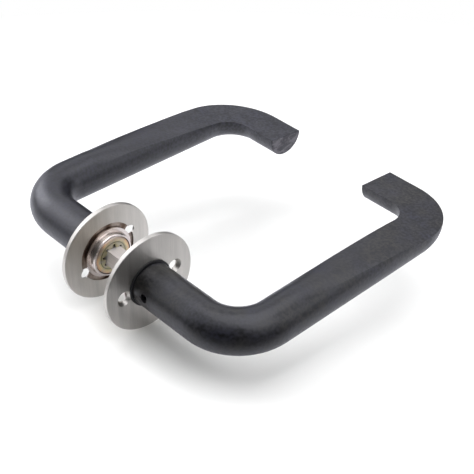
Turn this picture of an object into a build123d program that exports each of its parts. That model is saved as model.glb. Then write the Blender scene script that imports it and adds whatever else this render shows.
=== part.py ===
import os
from math import cos, pi, radians, sin, sqrt, tan

from build123d import *

# A pair of U-shaped lever handles on one square spindle. X runs along the spindle, from the
# rear side of the door to the front, Y along the grips and Z up. The origin is on the spindle
# axis, at the middle of the door. Sizes are in millimetres and angles in degrees.

# Door
door_thickness = 30.0

# Lever bar, a round bar bent twice in one plane
bar_diameter = 22.5
grip_offset = 60.4
neck_bend_radius = 23.2
grip_span = 142.5
return_bend_radius = 23.3
return_length = 44.0
return_end_chamfer = 0.4

# Planed top, which sinks along the grip and loses the bar's crown before the return bend
flat_start = 36.0
flat_end_height = 0.5
crown_steps = 4
crown_rise = 0.3
crown_lift = 0.02
crown_side_gap = 0.15

# Turn of the square against the planed tops, and the slack of the levers on the square, which
# the two of them take up opposite ways
spindle_turn = -9.0
lever_turn = 1.0

# Rose, a round plate screwed to the door
rose_diameter = 52.0
rose_thickness = 2.4
rose_rim_chamfer = 0.25
recess_diameter = 32.0
recess_depth = 0.7
screw_circle_diameter = 31.2
screw_count = 2
screw_hole_diameter = 5.2
screw_head_diameter = 8.2
screw_head_angle = 90.0
front_rose_turn = 6.0
rear_rose_turn = 24.0

# Spigot, the turned end of the lever's neck that runs through the rose, and its bores
spigot_diameter = 20.8
neck_chamfer = 0.4
socket_bore_diameter = 18.0
spindle_bore_diameter = 12.4
drill_point_angle = 118.0

# Neck bush, the plain bearing between the spigot and the rose
bush_flange_diameter = 24.6
bush_flange_thickness = 0.8
bush_wall = 0.65

# Wave washer, which takes up the end play of the rose
washer_bore_gap = 0.4
washer_width = 2.2
washer_thickness = 0.2
washer_wave = 0.12
washer_waves = 3
washer_path_points = 24

# Retaining collar, pressed on the spigot behind the rose
collar_flange_diameter = 27.0
collar_flange_thickness = 1.0
collar_root_diameter = 24.0
collar_nose_diameter = 23.0
collar_length = 4.4
collar_nose_round = 0.9

# Spindle socket, the insert in the neck with a star-shaped hole
socket_flange_diameter = 20.4
socket_flange_thickness = 1.2
socket_flange_chamfer = 0.35
socket_groove_diameter = 15.4
socket_groove_width = 0.4
socket_groove_depth = 0.3
socket_length = 21.0
star_squares = 2
star_relief_diameter = 1.5

# Square spindle
spindle_width = 8.0
spindle_length = 70.0
spindle_chamfer = 0.6
spindle_travel_in = 5.0

# Grub screw, which clamps the lever on a flat of the spindle
grub_diameter = 4.0
grub_length = 6.0
grub_from_neck = 8.0
grub_hex = 2.0
grub_hex_depth = 2.0
grub_chamfer = 0.5
grub_hole_diameter = 4.3

# Clearances
running_gap = 0.05
end_gap = 0.05
seat_gap = 0.02
thread_gap = 0.05
star_gap = 0.1
spindle_end_gap = 1.0

# Places along the spindle axis, on the front side
recess_floor = door_thickness / 2 + recess_depth
rose_face = door_thickness / 2 + rose_thickness
neck_end = rose_face + bush_flange_thickness + end_gap
grip_x = rose_face + grip_offset
return_end = grip_x - return_length
washer_x = recess_floor - end_gap - washer_wave - washer_thickness / 2
collar_seat = washer_x - washer_wave - washer_thickness / 2 - end_gap
collar_end = collar_seat - collar_length
spigot_end = collar_end + socket_flange_thickness
socket_end = spigot_end + socket_length
spindle_bore_end = spindle_length / 2 + spindle_travel_in + spindle_end_gap
grub_x = neck_end + grub_from_neck

# Radii about the spindle axis
bar_radius = bar_diameter / 2
spigot_radius = spigot_diameter / 2
bush_bore_radius = spigot_radius + running_gap
bush_radius = bush_bore_radius + bush_wall
grub_tip_radius = spindle_width / 2 + thread_gap


def make_lever():
    """Bent bar with its planed flat, turned spigot, stepped bore and hole for the grub screw."""
    with BuildPart() as lever:
        with BuildLine(Plane.XY):
            FilletPolyline(
                (neck_end, 0),
                (grip_x, 0),
                (grip_x, grip_span),
                (return_end, grip_span),
                radius=(neck_bend_radius, return_bend_radius),
            )
        with BuildSketch(Plane.YZ.offset(neck_end)):
            Circle(bar_radius)
        sweep()

        # Round the return bend the top is one sloping plane
        slope = (bar_radius - flat_end_height) / (grip_span - flat_start)
        plane_start = grip_span - return_bend_radius
        plane_height = bar_radius - slope * (plane_start - flat_start)
        plane_reach = grip_span + bar_diameter
        with BuildSketch(Plane.YZ):
            with BuildLine():
                Polyline(
                    (plane_start, plane_height),
                    (plane_reach, bar_radius - slope * (plane_reach - flat_start)),
                    (plane_reach, bar_diameter),
                    (plane_start, bar_diameter),
                    close=True,
                )
            make_face()
        extrude(amount=grip_x + bar_diameter, mode=Mode.SUBTRACT)

        # Along the grip it is crowned, as round as the bar at its start and flat at the bend
        crown_half = bar_radius - crown_side_gap
        for step in range(crown_steps + 1):
            share = step / crown_steps
            place = flat_start + share * (plane_start - flat_start)
            top = (1 - share) * (bar_radius + crown_lift) + share * plane_height
            top += 4 * crown_rise * share * (1 - share)
            with BuildSketch(Plane(origin=(grip_x, place, 0), x_dir=(1, 0, 0), z_dir=(0, -1, 0))):
                with BuildLine():
                    if share < 1:
                        radius = (bar_radius + crown_lift) / (1 - share) ** 2
                        side = top - radius + sqrt(radius**2 - crown_half**2)
                        ThreePointArc((-crown_half, side), (0, top), (crown_half, side))
                    else:
                        side = top
                        Line((-crown_half, side), (crown_half, side))
                    Polyline(
                        (crown_half, side),
                        (crown_half, bar_diameter),
                        (-crown_half, bar_diameter),
                        (-crown_half, side),
                    )
                make_face()
        loft(mode=Mode.SUBTRACT)
        cut_ends = lever.faces().filter_by(Axis.X).sort_by(Axis.Y)
        chamfer(cut_ends[-1].edges(), return_end_chamfer)
        chamfer(cut_ends[0].edges(), neck_chamfer)

        with BuildSketch(Plane.YZ.offset(spigot_end)):
            Circle(spigot_radius)
        extrude(amount=neck_end - spigot_end)

        # Seat of the socket, then the bore for the spindle's end with its drill point
        socket_bore_radius = socket_bore_diameter / 2
        spindle_bore_radius = spindle_bore_diameter / 2
        drill_point = spindle_bore_radius / tan(radians(drill_point_angle / 2))
        with BuildSketch(Plane.XY):
            with BuildLine():
                Polyline(
                    (spigot_end, 0),
                    (spigot_end, socket_bore_radius),
                    (socket_end + seat_gap, socket_bore_radius),
                    (socket_end + seat_gap, spindle_bore_radius),
                    (spindle_bore_end, spindle_bore_radius),
                    (spindle_bore_end + drill_point, 0),
                    close=True,
                )
            make_face()
        revolve(axis=Axis.X, mode=Mode.SUBTRACT)
        with BuildSketch(Plane.XZ.rotated((spindle_turn, 0, 0))):
            with Locations((grub_x, 0)):
                Circle(grub_hole_diameter / 2)
        extrude(amount=bar_diameter, mode=Mode.SUBTRACT)
    return lever.part


def make_rose(turn):
    """Round plate with a bore, a recess on the door side and countersunk screw holes."""
    with BuildPart() as rose:
        with BuildSketch(Plane.YZ.offset(door_thickness / 2)):
            Circle(rose_diameter / 2)
        extrude(amount=rose_thickness)
        chamfer(rose.edges(), rose_rim_chamfer)
        with BuildSketch(Plane.YZ.offset(door_thickness / 2)):
            Circle(recess_diameter / 2)
        extrude(amount=recess_depth, mode=Mode.SUBTRACT)
        with BuildSketch(Plane.YZ.offset(door_thickness / 2)):
            Circle(bush_radius + seat_gap)
        extrude(amount=rose_thickness, mode=Mode.SUBTRACT)
        with Locations(Plane.YZ.offset(rose_face)):
            with PolarLocations(screw_circle_diameter / 2, screw_count, start_angle=turn):
                CounterSinkHole(
                    screw_hole_diameter / 2,
                    screw_head_diameter / 2,
                    counter_sink_angle=screw_head_angle,
                )
    return rose.part


def make_neck_bush():
    """Flanged liner in the rose's bore, with the flange between the rose and the neck."""
    with BuildPart() as bush:
        with BuildSketch(Plane.YZ.offset(recess_floor)):
            Circle(bush_radius)
        extrude(amount=rose_face - recess_floor)
        with BuildSketch(Plane.YZ.offset(rose_face)):
            Circle(bush_flange_diameter / 2)
        extrude(amount=bush_flange_thickness)
        with BuildSketch(Plane.YZ.offset(recess_floor)):
            Circle(bush_bore_radius)
        extrude(amount=rose_thickness + bush_flange_thickness, mode=Mode.SUBTRACT)
    return bush.part


def make_wave_washer():
    """Thin ring whose height follows a cosine with a few waves to the turn."""
    middle_radius = spigot_radius + washer_bore_gap + washer_width / 2

    def on_wave(step, outward=0.0):
        angle = 2 * pi * step / washer_path_points
        radius = middle_radius + outward
        return washer_x + washer_wave * cos(washer_waves * angle), radius * cos(angle), radius * sin(angle)

    with BuildPart() as washer:
        with BuildLine():
            Spline(*[on_wave(step) for step in range(washer_path_points)], periodic=True)
        with BuildLine(mode=Mode.PRIVATE) as guide:
            Spline(*[on_wave(step, washer_width) for step in range(washer_path_points)], periodic=True)
        with BuildSketch(Plane(origin=on_wave(0), x_dir=(0, 1, 0), z_dir=(0, 0, 1))):
            Rectangle(washer_width, washer_thickness)
        sweep(binormal=guide.edge())
    return washer.part


def make_retaining_collar():
    """Turned ring with a flange behind the washer and a tapered, rounded nose."""
    with BuildPart() as collar:
        with BuildSketch(Plane.XY):
            with BuildLine():
                Polyline(
                    (collar_seat, spigot_radius + seat_gap),
                    (collar_seat, collar_flange_diameter / 2),
                    (collar_seat - collar_flange_thickness, collar_flange_diameter / 2),
                    (collar_seat - collar_flange_thickness, collar_root_diameter / 2),
                    (collar_end, collar_nose_diameter / 2),
                    (collar_end, spigot_radius + seat_gap),
                    close=True,
                )
            make_face()
        revolve(axis=Axis.X)
        nose_edge = collar.edges().group_by(Axis.X)[0].sort_by(SortBy.LENGTH)[-1]
        fillet(nose_edge, collar_nose_round)
    return collar.part


def make_spindle_socket():
    """Flanged, grooved insert whose hole is two squares an eighth of a turn apart."""
    star_width = spindle_width + 2 * star_gap
    with BuildPart() as socket:
        with BuildSketch(Plane.YZ.offset(collar_end)):
            Circle(socket_flange_diameter / 2)
        extrude(amount=socket_flange_thickness - seat_gap)
        chamfer(socket.edges().group_by(Axis.X)[0], socket_flange_chamfer)
        with BuildSketch(Plane.YZ.offset(collar_end)):
            Circle(socket_bore_diameter / 2 - seat_gap)
        extrude(amount=socket_end - collar_end)
        with BuildSketch(Plane.YZ.offset(collar_end)):
            with PolarLocations(0, star_squares, angular_range=90):
                Rectangle(star_width, star_width)
            with PolarLocations(star_width / 2**0.5, 4 * star_squares):
                Circle(star_relief_diameter / 2)
        extrude(amount=socket_end - collar_end, mode=Mode.SUBTRACT)
        with BuildSketch(Plane.YZ.offset(collar_end)):
            Circle(socket_groove_diameter / 2)
            Circle(socket_groove_diameter / 2 - socket_groove_width, mode=Mode.SUBTRACT)
        extrude(amount=socket_groove_depth, mode=Mode.SUBTRACT)
        with BuildSketch(Plane.XZ):
            with Locations((grub_x, 0)):
                Circle(grub_diameter / 2 + thread_gap)
        extrude(amount=bar_radius, mode=Mode.SUBTRACT)
    return socket.part


def make_grub_screw():
    """Headless screw on the spindle's flat, with a hexagon socket and a chamfered point."""
    with BuildPart() as grub:
        with BuildSketch(Plane.XZ.offset(grub_tip_radius)):
            with Locations((grub_x, 0)):
                Circle(grub_diameter / 2)
        extrude(amount=grub_length)
        chamfer(grub.edges().filter_by(GeomType.CIRCLE), grub_chamfer)
        with BuildSketch(Plane.XZ.offset(grub_tip_radius + grub_length)):
            with Locations((grub_x, 0)):
                RegularPolygon(grub_hex / 2, 6, major_radius=False)
        extrude(amount=-grub_hex_depth, mode=Mode.SUBTRACT)
    return grub.part


def make_spindle():
    """Square bar with chamfered ends that joins the two levers through the door."""
    with BuildPart() as spindle:
        Box(spindle_length, spindle_width, spindle_width)
        chamfer(spindle.faces().filter_by(Axis.X).edges(), spindle_chamfer)
    return spindle.part


def place_front(piece, turn=0.0):
    """The piece as made, turned about the spindle."""
    with BuildPart() as placed:
        add(piece, rotation=(turn, 0, 0))
    return placed


def place_rear(piece, turn=0.0):
    """Mirror image of the piece on the other side of the door, turned about the spindle."""
    with BuildPart() as mirrored:
        add(piece)
        mirror(about=Plane.YZ, mode=Mode.REPLACE)
    with BuildPart() as placed:
        add(mirrored.part, rotation=(turn, 0, 0))
    return placed


os.makedirs("parts", exist_ok=True)

lever_pieces = {
    "lever": make_lever(),
    "wave_washer": make_wave_washer(),
    "retaining_collar": make_retaining_collar(),
}
square_pieces = {"spindle_socket": make_spindle_socket(), "grub_screw": make_grub_screw()}
neck_bush = make_neck_bush()

pieces = {
    "front_rose": place_front(make_rose(front_rose_turn)),
    "front_neck_bush": place_front(neck_bush),
    "rear_rose": place_rear(make_rose(rear_rose_turn)),
    "rear_neck_bush": place_rear(neck_bush),
    "spindle": place_front(make_spindle(), spindle_turn),
}
for kind, piece in lever_pieces.items():
    pieces["front_" + kind] = place_front(piece, lever_turn)
    pieces["rear_" + kind] = place_rear(piece, -lever_turn)
for kind, piece in square_pieces.items():
    pieces["front_" + kind] = place_front(piece, spindle_turn + lever_turn)
    pieces["rear_" + kind] = place_rear(piece, spindle_turn - lever_turn)

for name, piece in pieces.items():
    piece.part.label = name
    export_step(piece.part, f"parts/{name}.step")
    print(f"{name}: {piece.part.volume:.1f} cubic millimetres")
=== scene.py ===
from math import cos, radians, sin

import bpy
import numpy as np
from mathutils import Matrix, Vector


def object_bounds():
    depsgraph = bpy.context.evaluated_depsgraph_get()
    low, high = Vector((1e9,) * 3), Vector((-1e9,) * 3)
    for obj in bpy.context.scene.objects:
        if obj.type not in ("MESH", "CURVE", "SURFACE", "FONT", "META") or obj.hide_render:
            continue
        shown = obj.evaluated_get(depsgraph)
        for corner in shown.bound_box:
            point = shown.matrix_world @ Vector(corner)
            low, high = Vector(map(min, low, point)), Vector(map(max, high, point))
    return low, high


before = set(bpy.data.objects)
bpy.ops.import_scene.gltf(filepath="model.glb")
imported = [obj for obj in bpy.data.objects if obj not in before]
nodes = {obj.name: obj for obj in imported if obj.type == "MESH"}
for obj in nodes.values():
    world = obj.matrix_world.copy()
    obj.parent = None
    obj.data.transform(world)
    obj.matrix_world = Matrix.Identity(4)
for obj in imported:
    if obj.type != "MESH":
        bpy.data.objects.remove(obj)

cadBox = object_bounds()
millimetre = 0.001
sides = ("front", "rear")
plainWhite = (1.0, 1.0, 1.0, 1.0)


# Colour, node and material helpers

def hexColour(code, alpha=1.0):
    # each sRGB channel c becomes ((c + 0.055) / 1.055) to the power 2.4, or c / 12.92 near black
    channels = [int(code[i:i + 2], 16) / 255 for i in (1, 3, 5)]
    linear = [c / 12.92 if c <= 0.04045 else ((c + 0.055) / 1.055) ** 2.4 for c in channels]
    return (*linear, alpha)


def addNode(tree, kind, settings=None, links=None):
    # settings are sockets by name or number, or else properties; links are sockets fed by an
    # output, or by the first output of a node
    node = tree.nodes.new(kind)
    for key, value in (settings or {}).items():
        if isinstance(key, int) or key in node.inputs.keys():
            node.inputs[key].default_value = value
        else:
            setattr(node, key, value)
    for key, source in (links or {}).items():
        output = source.outputs[0] if isinstance(source, bpy.types.Node) else source
        tree.links.new(output, node.inputs[key])
    return node


def rise(span, low=0.0, high=1.0):
    # what a Map Range node is set to, to run from low to high over the span and hold at its ends
    return {"From Min": span[0], "From Max": span[1], "To Min": low, "To Max": high}


def setStops(ramp, stops):
    # stops are (place, colour) pairs from left to right
    elements = ramp.color_ramp.elements
    while len(elements) < len(stops):
        elements.new(1.0)
    for element, (place, colour) in zip(elements, stops):
        element.position = place
        element.color = colour


def newMaterial(name):
    material = bpy.data.materials.new(name)
    material.use_nodes = True
    material.node_tree.nodes.clear()
    tree = material.node_tree
    place = addNode(tree, "ShaderNodeTexCoord").outputs["Object"]
    return material, tree, place


def finishMaterial(tree, settings, links):
    shader = addNode(tree, "ShaderNodeBsdfPrincipled", settings, links)
    addNode(tree, "ShaderNodeOutputMaterial", links={"Surface": shader})


def grain(tree, place, sizes, detail=2.0, roughness=0.5):
    # noise with grains as large as the sizes in millimetres along x, y and z: the place is divided
    # by them, so that one cell of the noise is one grain
    scale = [1 / (size * millimetre) for size in sizes]
    scaled = addNode(tree, "ShaderNodeMapping", {"Scale": scale}, {"Vector": place})
    settings = {"Scale": 1.0, "Detail": detail, "Roughness": roughness}
    return addNode(tree, "ShaderNodeTexNoise", settings, {"Vector": scaled}).outputs["Fac"]


def shades(tree, pattern, span, dark, light):
    # dark where the pattern is below the span, light where it is above, and a mix in between
    share = addNode(tree, "ShaderNodeMapRange", rise(span), {"Value": pattern})
    colours = {"data_type": "RGBA", 6: hexColour(dark), 7: hexColour(light)}
    return addNode(tree, "ShaderNodeMix", colours, {0: share}).outputs[2]


def shareAlong(tree, place, axis, start, stop):
    # 0 at start and 1 at stop, in millimetres to either side of the origin along one axis, and
    # constant beyond them
    coordinate = addNode(tree, "ShaderNodeSeparateXYZ", links={0: place}).outputs[axis]
    distance = addNode(tree, "ShaderNodeMath", {"operation": "ABSOLUTE"}, {0: coordinate})
    span = (start * millimetre, stop * millimetre)
    return addNode(tree, "ShaderNodeMapRange", rise(span), {"Value": distance})


def distanceFromAxis(tree, place):
    # the square root of y squared plus z squared, in metres from the spindle's axis
    flat = addNode(
        tree, "ShaderNodeVectorMath", {"operation": "MULTIPLY", 1: (0.0, 1.0, 1.0)}, {0: place}
    )
    length = addNode(tree, "ShaderNodeVectorMath", {"operation": "LENGTH"}, {0: flat})
    return length.outputs["Value"]


def shareInside(tree, place, radius, edge):
    # 1 up to the radius from the spindle's axis and 0 past radius + edge, in millimetres
    span = ((radius + edge) * millimetre, radius * millimetre)
    distance = distanceFromAxis(tree, place)
    return addNode(tree, "ShaderNodeMapRange", rise(span), {"Value": distance})


# Levers: solid bar, powder coated. Sizes, depths and places are in millimetres, as they are for
# every piece, and a Span is the part of a noise over which the look changes

leverCoat = {
    "dark": "#09090a",
    "cool": "#1d1d25",
    "warm": "#23211a",
    "cloudSize": 9.0,
    "cloudShare": 0.2,
    "grainSize": 1.5,
    "grainSpan": (0.41, 0.60),
    "roughness": (0.34, 0.46),
    "peelSize": 1.4,
    "peelDepth": 0.07,
    "warmSize": 14.0,
    "warmSpan": (0.35, 0.6),
    "warmSides": (-20.0, 20.0),
    "warmShare": (0.2, 0.85),
    "wornOver": (50.0, 125.0),
    "wornGain": 0.4,
    "wornRoughness": (0.06, -0.04),
    "grainRoughness": (0.08, -0.08),
    "smudgeSize": 7.0,
    "smudgeSpan": (0.38, 0.62),
    "endAt": 33.95,
    "endEdge": 0.1,
    "endBeyond": (50.0, 60.0),
    "endDark": "#252327",
    "endPale": "#575457",
    "endDepth": 0.08,
    "endRoughness": 0.14,
    "scoreSizes": (3.0, 4.8, 2.6),
    "scoreSpan": (0.42, 0.58),
}


def powderTint(tree, place, mottle, worn):
    # the paler grains stand on the dark coat. They are cool or warm in soft patches, warmer from
    # the rear lever's side to the front one's, and up to 1 + wornGain times as pale where worn
    values = leverCoat
    patches = grain(tree, place, [values["warmSize"]] * 3)
    tinge = addNode(tree, "ShaderNodeMapRange", rise(values["warmSpan"]), {"Value": patches})
    across = addNode(tree, "ShaderNodeSeparateXYZ", links={0: place}).outputs["X"]
    span = [at * millimetre for at in values["warmSides"]]
    towardsFront = addNode(
        tree, "ShaderNodeMapRange", rise(span, *values["warmShare"]), {"Value": across}
    )
    warmth = addNode(
        tree, "ShaderNodeMath", {"operation": "MULTIPLY"}, {0: tinge, 1: towardsFront}
    )
    tints = {6: hexColour(values["cool"]), 7: hexColour(values["warm"])}
    pale = addNode(tree, "ShaderNodeMix", {"data_type": "RGBA", **tints}, {0: warmth})
    gain = {"operation": "MULTIPLY_ADD", 1: values["wornGain"], 2: 1.0}
    paler = addNode(tree, "ShaderNodeMath", gain, {0: worn})
    standing = addNode(
        tree, "ShaderNodeVectorMath", {"operation": "SCALE"},
        {0: pale.outputs[2], "Scale": paler},
    )
    share = addNode(tree, "ShaderNodeMapRange", rise(values["grainSpan"]), {"Value": mottle})
    coat = {"data_type": "RGBA", 6: hexColour(values["dark"])}
    return addNode(tree, "ShaderNodeMix", coat, {0: share, 7: standing}).outputs[2]


def powderGloss(tree, place, mottle, worn, sawn):
    # roughness follows the grains. Where worn it is shifted by smudges and grains, and the sawn
    # end is rougher: satin + worn * (smudged + grained) + sawn * endRoughness
    values = leverCoat
    span = values["grainSpan"]
    satin = addNode(
        tree, "ShaderNodeMapRange", rise(span, *values["roughness"]), {"Value": mottle}
    )
    grained = addNode(
        tree, "ShaderNodeMapRange", rise(span, *values["grainRoughness"]), {"Value": mottle}
    )
    smudges = grain(tree, place, [values["smudgeSize"]] * 3, 4.0, 0.65)
    smudged = addNode(
        tree, "ShaderNodeMapRange", rise(values["smudgeSpan"], *values["wornRoughness"]),
        {"Value": smudges},
    )
    rubbed = addNode(tree, "ShaderNodeMath", {"operation": "ADD"}, {0: smudged, 1: grained})
    handled = addNode(
        tree, "ShaderNodeMath", {"operation": "MULTIPLY_ADD"}, {0: worn, 1: rubbed, 2: satin}
    )
    rougher = {"operation": "MULTIPLY_ADD", 1: values["endRoughness"]}
    return addNode(tree, "ShaderNodeMath", rougher, {0: sawn, 2: handled})


def satinPowderCoat():
    # polyester powder, sprayed on the bar and baked: black, satin, slightly pebbled and a little
    # uneven in gloss. Hands have worn it along the grip, over wornOver, and on the sawn end of
    # the return, from the door to endAt, it is thin, so that the end looks scored and paler. Real
    # pebbles and grains are about 0.5 mm and are drawn three times as coarse, so that they show
    values = leverCoat
    material, tree, place = newMaterial("satinBlackPowderCoat")
    cloud = grain(tree, place, [values["cloudSize"]] * 3, 3.0)
    speckle = grain(tree, place, [values["grainSize"]] * 3)
    mottle = addNode(
        tree, "ShaderNodeMix", {"data_type": "FLOAT", 0: values["cloudShare"]},
        {2: speckle, 3: cloud},
    )
    worn = shareAlong(tree, place, "Y", *values["wornOver"])
    nearDoor = shareAlong(tree, place, "X", values["endAt"] + values["endEdge"], values["endAt"])
    farOut = shareAlong(tree, place, "Y", *values["endBeyond"])
    sawn = addNode(tree, "ShaderNodeMath", {"operation": "MULTIPLY"}, {0: nearDoor, 1: farOut})
    scores = grain(tree, place, values["scoreSizes"], 3.0, 0.65)
    scored = shades(tree, scores, values["scoreSpan"], values["endDark"], values["endPale"])
    coated = powderTint(tree, place, mottle, worn)
    colour = addNode(
        tree, "ShaderNodeMix", {"data_type": "RGBA"}, {0: sawn, 6: coated, 7: scored}
    )
    peel = grain(tree, place, [values["peelSize"]] * 3, 1.0)
    pebbles = addNode(
        tree, "ShaderNodeBump", {"Distance": values["peelDepth"] * millimetre}, {"Height": peel}
    )
    marks = addNode(tree, "ShaderNodeMath", {"operation": "MULTIPLY"}, {0: speckle, 1: sawn})
    marked = addNode(
        tree, "ShaderNodeBump", {"Distance": values["endDepth"] * millimetre},
        {"Height": marks, "Normal": pebbles},
    )
    finishMaterial(
        tree,
        {"Metallic": 0.0, "IOR": 1.5},
        {
            "Base Color": colour.outputs[2],
            "Roughness": powderGloss(tree, place, mottle, worn, sawn),
            "Normal": marked,
        },
    )
    return material


# Roses: stainless steel sheet, punched, pressed and brushed in one direction

roseSteel = {
    "dark": "#adaaa1",
    "light": "#c7c3ba",
    "lineSizes": (0.5, 0.16, 12.0),
    "bandSizes": (30.0, 3.5, 60.0),
    "bandShare": 0.5,
    "strokeSpan": (0.35, 0.65),
    "lineDepth": 0.0016,
    "roughness": (0.34, 0.44),
    # painted shade: the dark browns of the door side's recess stand for the shade that falls in it
    "recessShadeDark": "#5e4d40",
    "recessShadePale": "#a1968b",
    "recessPatch": 7.0,
    "recessSpan": (0.4, 0.6),
    "recessRadius": 16.05,
    "recessFloor": 15.75,
    "recessEdge": 0.05,
}


def brushedStainless():
    # belt grit leaves fine straight lines and broad soft bands up the plate, which spread its
    # reflections. Real lines are about 0.05 mm wide and are drawn three times as coarse, so that
    # they show. The recess pressed in the door side is painted dark brown with paler blotches:
    # painted shade, for the shade that falls in the recess
    values = roseSteel
    material, tree, place = newMaterial("brushedStainlessSteel")
    lines = grain(tree, place, values["lineSizes"], 3.0, 0.6)
    bands = grain(tree, place, values["bandSizes"])
    strokes = addNode(
        tree, "ShaderNodeMix", {"data_type": "FLOAT", 0: values["bandShare"]},
        {2: lines, 3: bands},
    )
    brushed = shades(tree, strokes, values["strokeSpan"], values["dark"], values["light"])
    # painted shade in the recess: dark brown with paler blotches
    recessBlotches = grain(tree, place, [values["recessPatch"]] * 3, 3.0)
    shadedRecess = shades(
        tree, recessBlotches, values["recessSpan"], values["recessShadeDark"], values["recessShadePale"]
    )
    depth, edge = values["recessFloor"], values["recessEdge"]
    inner = shareInside(tree, place, values["recessRadius"], edge)
    doorSide = shareAlong(tree, place, "X", depth + edge, depth)
    recess = addNode(tree, "ShaderNodeMath", {"operation": "MULTIPLY"}, {0: inner, 1: doorSide})
    colour = addNode(
        tree, "ShaderNodeMix", {"data_type": "RGBA"}, {0: recess, 6: brushed, 7: shadedRecess}
    )
    roughness = addNode(
        tree, "ShaderNodeMapRange", rise(values["strokeSpan"], *values["roughness"]),
        {"Value": strokes},
    )
    normal = addNode(
        tree, "ShaderNodeBump", {"Distance": values["lineDepth"] * millimetre}, {"Height": lines}
    )
    finishMaterial(
        tree,
        {"Metallic": 1.0},
        {"Base Color": colour.outputs[2], "Roughness": roughness, "Normal": normal},
    )
    return material


# Sockets: turned steel, zinc plated and passivated yellow

socketZinc = {
    "reach": 10.2,
    "rings": (
        (0.00, "#a9a68c"),
        (0.70, "#aaa584"),
        (0.745, "#6f7757"),
        (0.77, "#b9ae86"),
        (0.86, "#cfbb90"),
        (0.965, "#cba383"),
        (1.00, "#5d4a3a"),
    ),
    "patch": "#a8a298",
    "patchSize": 3.2,
    "patchSpan": (0.42, 0.6),
    "patchShare": 0.7,
    # painted shade: the dark colour of the star's walls, deep in the socket
    "bore": "#34332a",
    "boreRadius": 7.5,
    "boreEdge": 0.1,
    "boreOver": (10.9, 11.2),
    "gritSize": 0.4,
    "gritSpan": (0.3, 0.7),
    "gritDepth": 0.008,
    "roughness": (0.30, 0.42),
}


def yellowPassivate():
    # chromate over zinc dries in rings about the turned axis, from olive to yellow and pink, with
    # soft greyer patches where it is thin. The rings turn darker olive over the groove and dark
    # brown at the flange's rim. A ring's place is its distance from the axis / reach.
    # The walls of the star are painted dark, as painted shade for the shade deep in the star. The
    # grit is coarser than the real crystals, which are too fine to show
    values = socketZinc
    material, tree, place = newMaterial("yellowPassivatedZinc")
    outward = addNode(
        tree, "ShaderNodeMath", {"operation": "DIVIDE", 1: values["reach"] * millimetre},
        {0: distanceFromAxis(tree, place)},
    )
    rings = addNode(tree, "ShaderNodeValToRGB", links={"Fac": outward})
    setStops(rings, [(at, hexColour(code)) for at, code in values["rings"]])
    patches = grain(tree, place, [values["patchSize"]] * 3)
    thin = addNode(
        tree, "ShaderNodeMapRange", rise(values["patchSpan"], 0.0, values["patchShare"]),
        {"Value": patches},
    )
    patched = addNode(
        tree, "ShaderNodeMix", {"data_type": "RGBA", 7: hexColour(values["patch"])},
        {0: thin, 6: rings},
    )
    # painted shade on the star's walls, deep in the socket
    deep = shareAlong(tree, place, "X", *values["boreOver"])
    inner = shareInside(tree, place, values["boreRadius"], values["boreEdge"])
    walls = addNode(tree, "ShaderNodeMath", {"operation": "MULTIPLY"}, {0: deep, 1: inner})
    colour = addNode(
        tree, "ShaderNodeMix", {"data_type": "RGBA", 7: hexColour(values["bore"])},
        {0: walls, 6: patched.outputs[2]},
    )
    grit = grain(tree, place, [values["gritSize"]] * 3)
    roughness = addNode(
        tree, "ShaderNodeMapRange", rise(values["gritSpan"], *values["roughness"]),
        {"Value": grit},
    )
    normal = addNode(
        tree, "ShaderNodeBump", {"Distance": values["gritDepth"] * millimetre}, {"Height": grit}
    )
    finishMaterial(
        tree,
        {"Metallic": 1.0},
        {"Base Color": colour.outputs[2], "Roughness": roughness, "Normal": normal},
    )
    return material


# Small parts and the spindle, each with two shades, a range of gloss and a grain. The grains are
# coarser than the real marks of a tool or a mould, so that they show

markSpan = (0.3, 0.7)
smallParts = {
    "turnedBrightSteel": {  # turned in a lathe: fine rings about the axis, bright and warm
        "dark": "#b9afa7", "light": "#d9d1ca", "metallic": 1.0, "roughness": (0.20, 0.30),
        "sizes": (0.25, 30.0, 30.0), "depth": 0.004,
    },
    "temperedSpringSteel": {  # stamped from hardened strip: brownish from the tempering heat
        "dark": "#5b4a3c", "light": "#8a7762", "metallic": 1.0, "roughness": (0.30, 0.45),
        "sizes": (2.0, 2.0, 2.0), "depth": 0.003,
    },
    "blackenedSteel": {  # turned and dipped in black oxide: dark, with a dull oily gloss
        "dark": "#17171a", "light": "#202024", "metallic": 1.0, "roughness": (0.45, 0.55),
        "sizes": (0.6, 0.6, 0.6), "depth": 0.005,
    },
    "mouldedBlackNylon": {  # injection moulded: plain dull black with a fine even skin
        "dark": "#0d0d0e", "light": "#161615", "metallic": 0.0, "roughness": (0.50, 0.62),
        "sizes": (0.8, 0.8, 0.8), "depth": 0.005,
    },
    "drawnPlatedSteel": {  # drawn lengthwise, then zinc plated: a pale bloom, so only part metal
        "dark": "#c3bfb7", "light": "#d9d1cb", "metallic": 0.4, "roughness": (0.38, 0.50),
        "sizes": (18.0, 0.4, 0.4), "depth": 0.004,
    },
}


def smallPartSurface(name):
    values = smallParts[name]
    material, tree, place = newMaterial(name)
    marks = grain(tree, place, values["sizes"], 3.0)
    roughness = addNode(
        tree, "ShaderNodeMapRange", rise(markSpan, *values["roughness"]), {"Value": marks}
    )
    normal = addNode(
        tree, "ShaderNodeBump", {"Distance": values["depth"] * millimetre}, {"Height": marks}
    )
    finishMaterial(
        tree,
        {"Metallic": values["metallic"]},
        {
            "Base Color": shades(tree, marks, markSpan, values["dark"], values["light"]),
            "Roughness": roughness,
            "Normal": normal,
        },
    )
    return material


finishes = {
    "lever": satinPowderCoat(),
    "rose": brushedStainless(),
    "spindle_socket": yellowPassivate(),
    "retaining_collar": smallPartSurface("turnedBrightSteel"),
    "wave_washer": smallPartSurface("temperedSpringSteel"),
    "grub_screw": smallPartSurface("blackenedSteel"),
    "neck_bush": smallPartSurface("mouldedBlackNylon"),
}


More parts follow.
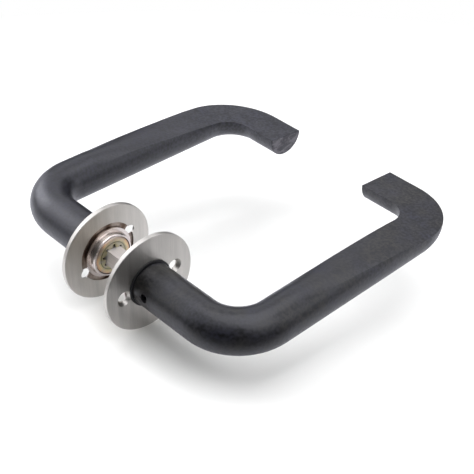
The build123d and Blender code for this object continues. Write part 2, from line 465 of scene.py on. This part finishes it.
def dress(name, material):
    slots = nodes[name].data.materials
    slots.clear()
    slots.append(material)


for side in sides:
    for kind, material in finishes.items():
        dress(side + "_" + kind, material)
dress("spindle", smallPartSurface("drawnPlatedSteel"))
print("materials assigned to", len(nodes), "nodes")


# Floor, light and camera, with lengths in metres

studio = {
    "floorHalf": 4.0,
    "floorSteps": 121,
    "floorEven": 0.15,
    "farDip": {"slope": 0.16, "brink": 0.0, "reach": 0.4},
    "rearDip": {"slope": 0.36, "brink": 0.02, "reach": 0.25},
    "brinkSoftness": 0.012,
    "floorPale": "#f3f3f3",
    # painted shade: the floor's grey towards the camera, which only the handles' reflections show
    "floorPaintedShade": "#707070",
    "dimTowards": (0.73, -0.68, 0.0),
    "dimOver": (0.062, 0.105),
    "floorWhite": 0.85,
    "floorBalance": (1.042, 1.035, 0.947),
    # painted shadow: around this place near the rear grip the camera sees a lower white, which
    # deepens the grip's shadow
    "paintedShadowAt": (-0.060, 0.085, 0.0),
    "paintedShadowRadius": (0.045, 0.115),
    "paintedShadowWhite": 0.69,
    "whiteBeyond": (0.30, 0.55),
    "worldColour": "#f4f6fa",
    "worldStrength": 0.05,
    "lampColour": "#f4f5ff",
    "lightAim": (0.0, 0.06, 0.0),
    "softboxes": {  # place, power in watts and width of each
        "overhead": ((0.00, 0.05, 1.10), 5.4, 0.8),
        "highRight": ((0.58, 0.05, 0.93), 4.2, 0.7),
        "highBack": ((0.00, 0.63, 0.93), 3.6, 0.7),
        "highLeft": ((-0.58, 0.05, 0.93), 2.4, 0.7),
        "highNear": ((0.00, -0.53, 0.93), 1.4, 0.7),
        "right": ((0.93, 0.05, 0.58), 1.7, 0.7),
        "backRight": ((0.66, 0.71, 0.58), 1.9, 0.7),
        "back": ((0.00, 0.98, 0.58), 0.4, 0.7),
        "backLeft": ((-0.66, 0.71, 0.58), 2.0, 0.7),
        "left": ((-0.93, 0.05, 0.58), 2.6, 0.7),
        "nearLeft": ((-0.66, -0.61, 0.58), 2.2, 0.7),
        "lowBackRight": ((0.76, 0.81, 0.23), 1.7, 0.5),
        "lowLeft": ((-1.08, 0.05, 0.23), 1.2, 0.5),
        "lowNearLeft": ((-0.76, -0.71, 0.23), 1.0, 0.5),
        "closeLeft": ((-0.45, -0.10, 0.22), 1.1, 0.3),
    },
}


def dipped(distance, dip):
    # past the brink the floor sinks by slope * reach * (1 - exp(-depth / reach)), where depth is
    # softness * log(1 + exp((distance - brink) / softness)), which rounds the brink
    softness = studio["brinkSoftness"]
    depth = softness * np.logaddexp(0.0, (distance - dip["brink"]) / softness)
    return dip["slope"] * dip["reach"] * (1 - np.exp(-depth / dip["reach"]))


def paleFloor():
    # the camera sees floorBalance times a white that rises from paintedShadowWhite to floorWhite
    # over the two paintedShadowRadius distances from paintedShadowAt, with the shadows on it, and
    # plain white light past whiteBeyond; from below the floor is clear to it. The lower white near
    # paintedShadowAt is a painted shadow, which deepens the rear grip's shadow. The handles are
    # lit by a pale floor that falls to floorPaintedShade over dimOver, measured along dimTowards,
    # which is to
    # the camera: painted shade, which shows only in the handles' reflections
    values = studio
    material, tree, place = newMaterial("paleFloor")
    path = addNode(tree, "ShaderNodeLightPath")
    cameraRay = path.outputs["Is Camera Ray"]
    forward = addNode(
        tree, "ShaderNodeVectorMath", {"operation": "DOT_PRODUCT", 1: values["dimTowards"]},
        {0: place},
    )
    # painted shade on the floor towards the camera, seen only in reflections
    ground = shades(
        tree, forward.outputs["Value"], values["dimOver"], values["floorPale"],
        values["floorPaintedShade"],
    )
    level = addNode(
        tree, "ShaderNodeVectorMath", {"operation": "MULTIPLY", 1: (1.0, 1.0, 0.0)}, {0: place}
    )
    # painted shadow: a lower white near the rear grip's shadow
    fromPaintedShadow = addNode(
        tree, "ShaderNodeVectorMath", {"operation": "DISTANCE", 1: values["paintedShadowAt"]}, {0: level}
    )
    white = addNode(
        tree, "ShaderNodeMapRange",
        rise(values["paintedShadowRadius"], values["paintedShadowWhite"], values["floorWhite"]),
        {"Value": fromPaintedShadow.outputs["Value"]},
    )
    balanced = addNode(
        tree, "ShaderNodeVectorMath", {"operation": "SCALE", 0: values["floorBalance"]},
        {"Scale": white},
    )
    seen = addNode(
        tree, "ShaderNodeMath", {"operation": "MAXIMUM"},
        {0: cameraRay, 1: path.outputs["Is Transmission Ray"]},
    )
    colour = addNode(
        tree, "ShaderNodeMix", {"data_type": "RGBA"}, {0: seen, 6: ground, 7: balanced}
    )
    surface = addNode(tree, "ShaderNodeBsdfDiffuse", links={"Color": colour.outputs[2]})
    outward = addNode(tree, "ShaderNodeVectorMath", {"operation": "LENGTH"}, {0: level})
    distant = addNode(
        tree, "ShaderNodeMapRange", rise(values["whiteBeyond"]),
        {"Value": outward.outputs["Value"]},
    )
    light = addNode(tree, "ShaderNodeEmission", {"Color": plainWhite, "Strength": 1.0})
    clear = addNode(tree, "ShaderNodeBsdfTransparent")
    backfacing = addNode(tree, "ShaderNodeNewGeometry").outputs["Backfacing"]
    shown = surface
    for share, shader in ((distant, light), (backfacing, clear)):
        seenShare = addNode(
            tree, "ShaderNodeMath", {"operation": "MULTIPLY"}, {0: cameraRay, 1: share}
        )
        shown = addNode(tree, "ShaderNodeMixShader", links={0: seenShare, 1: shown, 2: shader})
    addNode(tree, "ShaderNodeOutputMaterial", links={"Surface": shown})
    return material


def buildFloor():
    # a square grid, finest in the middle: floorHalf * (even * s + (1 - even) * s cubed) for s from
    # -1 to 1. It is level under the roses and dips away under the far ends and the rear lever, so
    # that their shadows fall apart from them as in the photograph
    steps, even = studio["floorSteps"], studio["floorEven"]
    spread = np.linspace(-1.0, 1.0, steps)
    places = studio["floorHalf"] * (even * spread + (1 - even) * spread ** 3)
    x, y = (axis.ravel() for axis in np.meshgrid(places, places, indexing="ij"))
    z = cadBox[0][2] - dipped(y, studio["farDip"]) - dipped(-x, studio["rearDip"])
    first = (np.arange(steps - 1)[:, None] * steps + np.arange(steps - 1)).ravel()
    quads = np.stack([first, first + steps, first + steps + 1, first + 1], axis=1)
    mesh = bpy.data.meshes.new("floor")
    mesh.from_pydata(np.stack([x, y, z], axis=1).tolist(), [], quads.tolist())
    mesh.polygons.foreach_set("use_smooth", [True] * len(quads))
    mesh.materials.append(paleFloor())
    floor = bpy.data.objects.new("floor", mesh)
    bpy.context.scene.collection.objects.link(floor)


def buildWorld():
    # the camera sees pure white, everything else a pale even light
    world = bpy.data.worlds.new("studio")
    bpy.context.scene.world = world
    world.use_nodes = True
    tree = world.node_tree
    tree.nodes.clear()
    path = addNode(tree, "ShaderNodeLightPath")
    pale = {"Color": hexColour(studio["worldColour"]), "Strength": studio["worldStrength"]}
    soft = addNode(tree, "ShaderNodeBackground", pale)
    white = addNode(tree, "ShaderNodeBackground", {"Color": plainWhite, "Strength": 1.0})
    mixed = addNode(tree, "ShaderNodeMixShader", links={0: path, 1: soft, 2: white})
    addNode(tree, "ShaderNodeOutputWorld", links={"Surface": mixed})


def addSoftbox(name, place, power, size, aim):
    lamp = bpy.data.lights.new(name, "AREA")
    lamp.energy = power
    lamp.size = size
    lamp.color = hexColour(studio["lampColour"])[:3]
    holder = bpy.data.objects.new(name, lamp)
    holder.location = place
    holder.rotation_euler = (Vector(aim) - Vector(place)).to_track_quat("-Z", "Y").to_euler()
    bpy.context.scene.collection.objects.link(holder)


camera = {  # degrees, metres, and the lens in millimetres
    "azimuth": 46.75,
    "elevation": 37.17,
    "roll": 0.59,
    "distance": 0.569,
    "aim": (0.0302, 0.0447, 0.0115),
    "lens": 89.0,
}


def buildCamera():
    # columns of the turn: right, up and back, with right and up rolled about back
    azimuth, elevation, roll = (radians(camera[key]) for key in ("azimuth", "elevation", "roll"))
    back = Vector((sin(azimuth) * cos(elevation), -cos(azimuth) * cos(elevation), sin(elevation)))
    level = Vector((cos(azimuth), sin(azimuth), 0.0))
    upright = back.cross(level)
    right = level * cos(roll) + upright * sin(roll)
    up = upright * cos(roll) - level * sin(roll)
    place = Vector(camera["aim"]) + back * camera["distance"]
    lens = bpy.data.cameras.new("photographView")
    lens.lens = camera["lens"]
    holder = bpy.data.objects.new("photographView", lens)
    turn = Matrix((right, up, back)).transposed().to_4x4()
    holder.matrix_world = Matrix.Translation(place) @ turn
    bpy.context.scene.collection.objects.link(holder)
    bpy.context.scene.camera = holder


buildFloor()
buildWorld()
for name, (place, power, size) in studio["softboxes"].items():
    addSoftbox(name, place, power, size, studio["lightAim"])
buildCamera()
bpy.context.scene.view_settings.view_transform = "Standard"
print("floor, light and camera placed")
